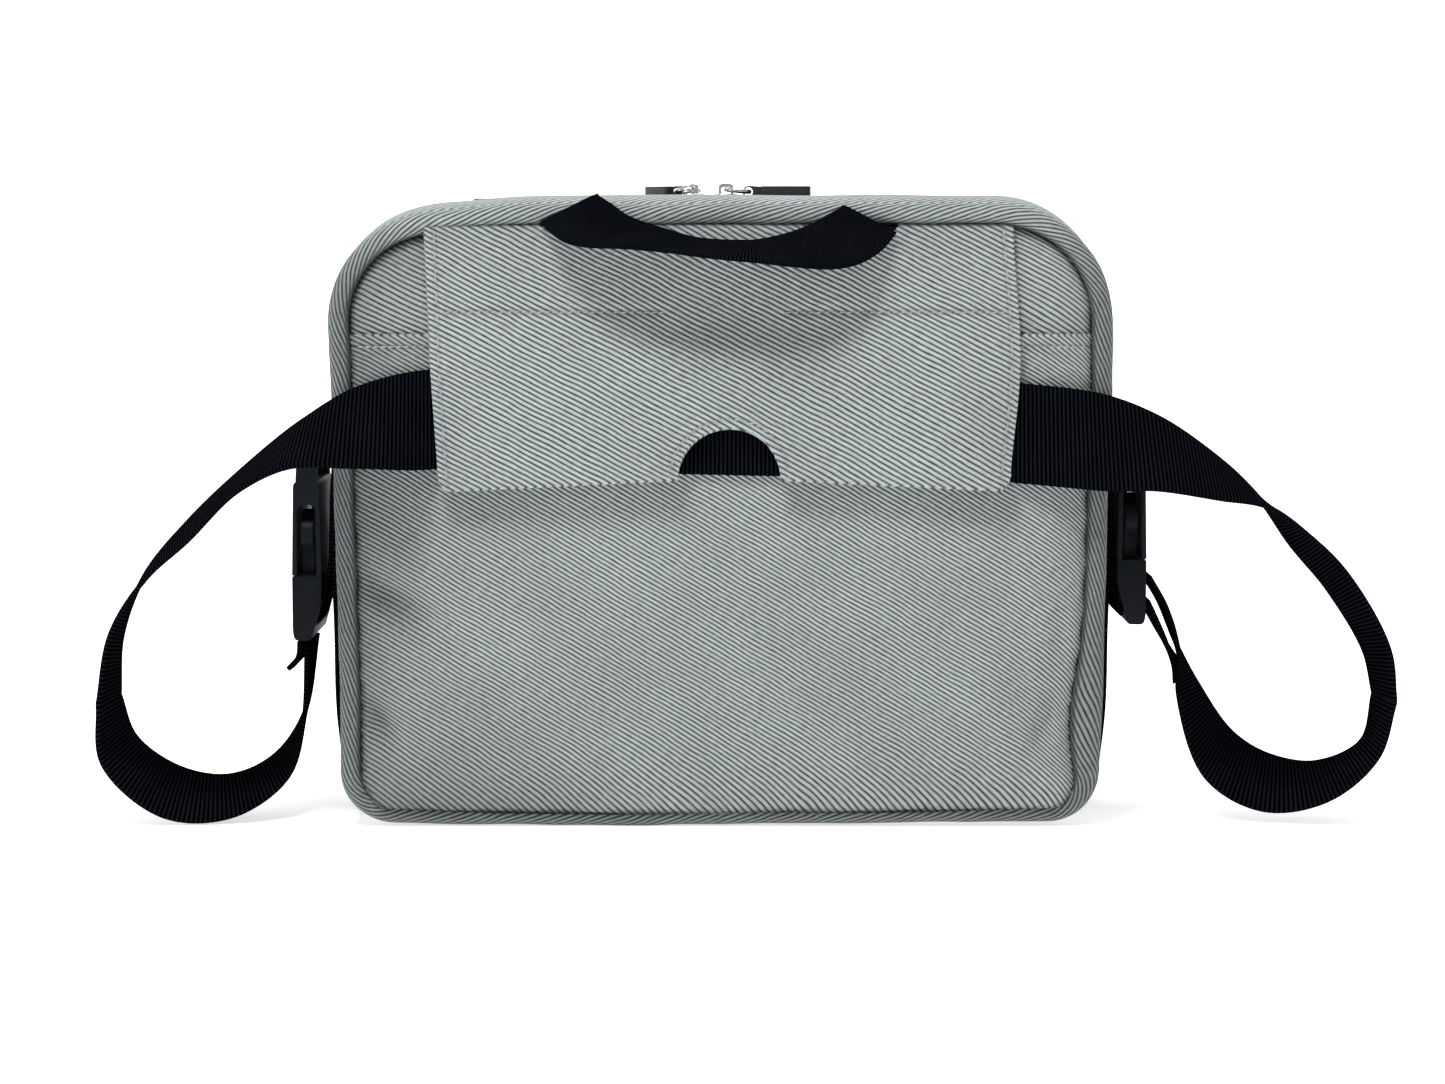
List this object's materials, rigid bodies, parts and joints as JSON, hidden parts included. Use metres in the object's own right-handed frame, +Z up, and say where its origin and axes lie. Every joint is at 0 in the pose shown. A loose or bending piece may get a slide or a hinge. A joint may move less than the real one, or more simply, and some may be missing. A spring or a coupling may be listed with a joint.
{
  "type": "mail sack",
  "caption": "Small soft messenger bag in grey twill with piped edges, a zip mouth, a belt flap over a wide webbing strap, a carry handle and side buckles.",
  "frame": {"origin": "middle of the underside of the bag's base, where it stands", "axes": "+Z up; -Y is the carry side, worn against the body; +X to the right of someone facing the carry side"},
  "size_m": [0.4981, 0.1455, 0.2464],
  "materials": {
    "twill": "coarse grey twill, matt with a slight sheen on the ribs",
    "piping": "the same twill wrapped on the bias round a cord",
    "webbing": "ribbed black webbing, matt",
    "zip_tape": "black woven tape",
    "zip_coil": "black nylon coil",
    "metal": "bright nickel plate",
    "pull": "moulded black rubber, satin",
    "buckle": "moulded slate-black acetal, satin",
    "board": "plain stiffening sheet"
  },
  "bodies": {
    "bag": {"back_panel": "twill", "front_panel": "twill", "side_gusset": "twill", "top_panel_rear": "twill", "top_panel_front": "twill", "piping_rear": "piping", "piping_front": "piping", "back_pocket": "twill", "belt_flap_yoke": "twill", "base_board": "board", "side_band_left": "webbing", "side_band_right": "webbing", "buckle_tab_left": "webbing", "buckle_tab_right": "webbing", "strap_middle": "webbing", "strap_left_upper": "webbing", "strap_right_upper": "webbing", "zip_tape_rear": "zip_tape", "zip_tape_front": "zip_tape", "zip_coil_rear": "zip_coil", "zip_coil_front": "zip_coil", "zip_end_left": "twill", "zip_end_right": "twill"},
    "flap": {"belt_flap": "twill"},
    "handle": {"carry_handle": "webbing"},
    "slider_left": {"zip_slider_left": "metal"},
    "ring_left": {"pull_ring_left": "metal"},
    "tab_left": {"pull_tab_left": "pull"},
    "buckle_socket_left": {"socket_left": "buckle"},
    "buckle_plug_left": {"plug_left": "buckle", "strap_left_lower": "webbing", "strap_tail_left": "webbing"},
    "arm_left_rear": {"arm_left_rear": "buckle"},
    "arm_left_front": {"arm_left_front": "buckle"},
    "slider_right": {"zip_slider_right": "metal"},
    "ring_right": {"pull_ring_right": "metal"},
    "tab_right": {"pull_tab_right": "pull"},
    "buckle_socket_right": {"socket_right": "buckle"},
    "buckle_plug_right": {"plug_right": "buckle", "strap_right_lower": "webbing", "strap_tail_right": "webbing"},
    "arm_right_rear": {"arm_right_rear": "buckle"},
    "arm_right_front": {"arm_right_front": "buckle"}
  },
  "joints": [
    {"name": "flap_lift", "type": "hinge", "parent": "bag", "child": "flap", "pos_m": [0, -0.056, 0.19725], "axis": [-1, 0, 0], "range_deg": [0, 110]},
    {"name": "handle_lift", "type": "hinge", "parent": "bag", "child": "handle", "pos_m": [0, -0.0605, 0.2385], "axis": [-1, 0, 0], "range_deg": [0, 100]},
    {"name": "zip_left", "type": "slide", "parent": "bag", "child": "slider_left", "axis": [-1, 0, 0], "range_m": [0, 0.08]},
    {"name": "ring_swing_left", "type": "hinge", "parent": "slider_left", "child": "ring_left", "pos_m": [-0.011, 0, 0.2439], "axis": [0.866, 0.5, 0], "range_deg": [0, 90]},
    {"name": "tab_swing_left", "type": "hinge", "parent": "ring_left", "child": "tab_left", "pos_m": [-0.01558, 0.00794, 0.2431], "axis": [0.866, 0.5, 0], "range_deg": [0, 40]},
    {"name": "buckle_swing_left", "type": "hinge", "parent": "bag", "child": "buckle_socket_left", "pos_m": [-0.1617, 0, 0.1395], "axis": [0, 1, 0], "range_deg": [0, 60], "deforming": ["strap_left_upper"]},
    {"name": "buckle_release_left", "type": "slide", "parent": "buckle_socket_left", "child": "buckle_plug_left", "axis": [0, 0, -1], "range_m": [0, 0.03], "deforming": ["strap_left_lower"]},
    {"name": "pinch_left_rear", "type": "hinge", "parent": "buckle_plug_left", "child": "arm_left_rear", "pos_m": [-0.1617, -0.0135, 0.0939], "axis": [-1, 0, 0], "range_deg": [0, 8], "stiffness_Nm_per_rad": 0.15},
    {"name": "pinch_left_front", "type": "hinge", "parent": "buckle_plug_left", "child": "arm_left_front", "pos_m": [-0.1617, 0.0135, 0.0939], "axis": [1, 0, 0], "range_deg": [0, 8], "stiffness_Nm_per_rad": 0.15},
    {"name": "zip_right", "type": "slide", "parent": "bag", "child": "slider_right", "axis": [1, 0, 0], "range_m": [0, 0.09]},
    {"name": "ring_swing_right", "type": "hinge", "parent": "slider_right", "child": "ring_right", "pos_m": [0.002, 0, 0.2439], "axis": [0, -1, 0], "range_deg": [0, 90]},
    {"name": "tab_swing_right", "type": "hinge", "parent": "ring_right", "child": "tab_right", "pos_m": [0.01116, 0, 0.2431], "axis": [0, -1, 0], "range_deg": [0, 40]},
    {"name": "buckle_swing_right", "type": "hinge", "parent": "bag", "child": "buckle_socket_right", "pos_m": [0.1603, 0, 0.1459], "axis": [0, -1, 0], "range_deg": [0, 60], "deforming": ["strap_right_upper"]},
    {"name": "buckle_release_right", "type": "slide", "parent": "buckle_socket_right", "child": "buckle_plug_right", "axis": [0, 0, -1], "range_m": [0, 0.03], "deforming": ["strap_right_lower"]},
    {"name": "pinch_right_rear", "type": "hinge", "parent": "buckle_plug_right", "child": "arm_right_rear", "pos_m": [0.1603, -0.0135, 0.1003], "axis": [-1, 0, 0], "range_deg": [0, 8], "stiffness_Nm_per_rad": 0.15},
    {"name": "pinch_right_front", "type": "hinge", "parent": "buckle_plug_right", "child": "arm_right_front", "pos_m": [0.1603, 0.0135, 0.1003], "axis": [1, 0, 0], "range_deg": [0, 8], "stiffness_Nm_per_rad": 0.15}
  ]
}
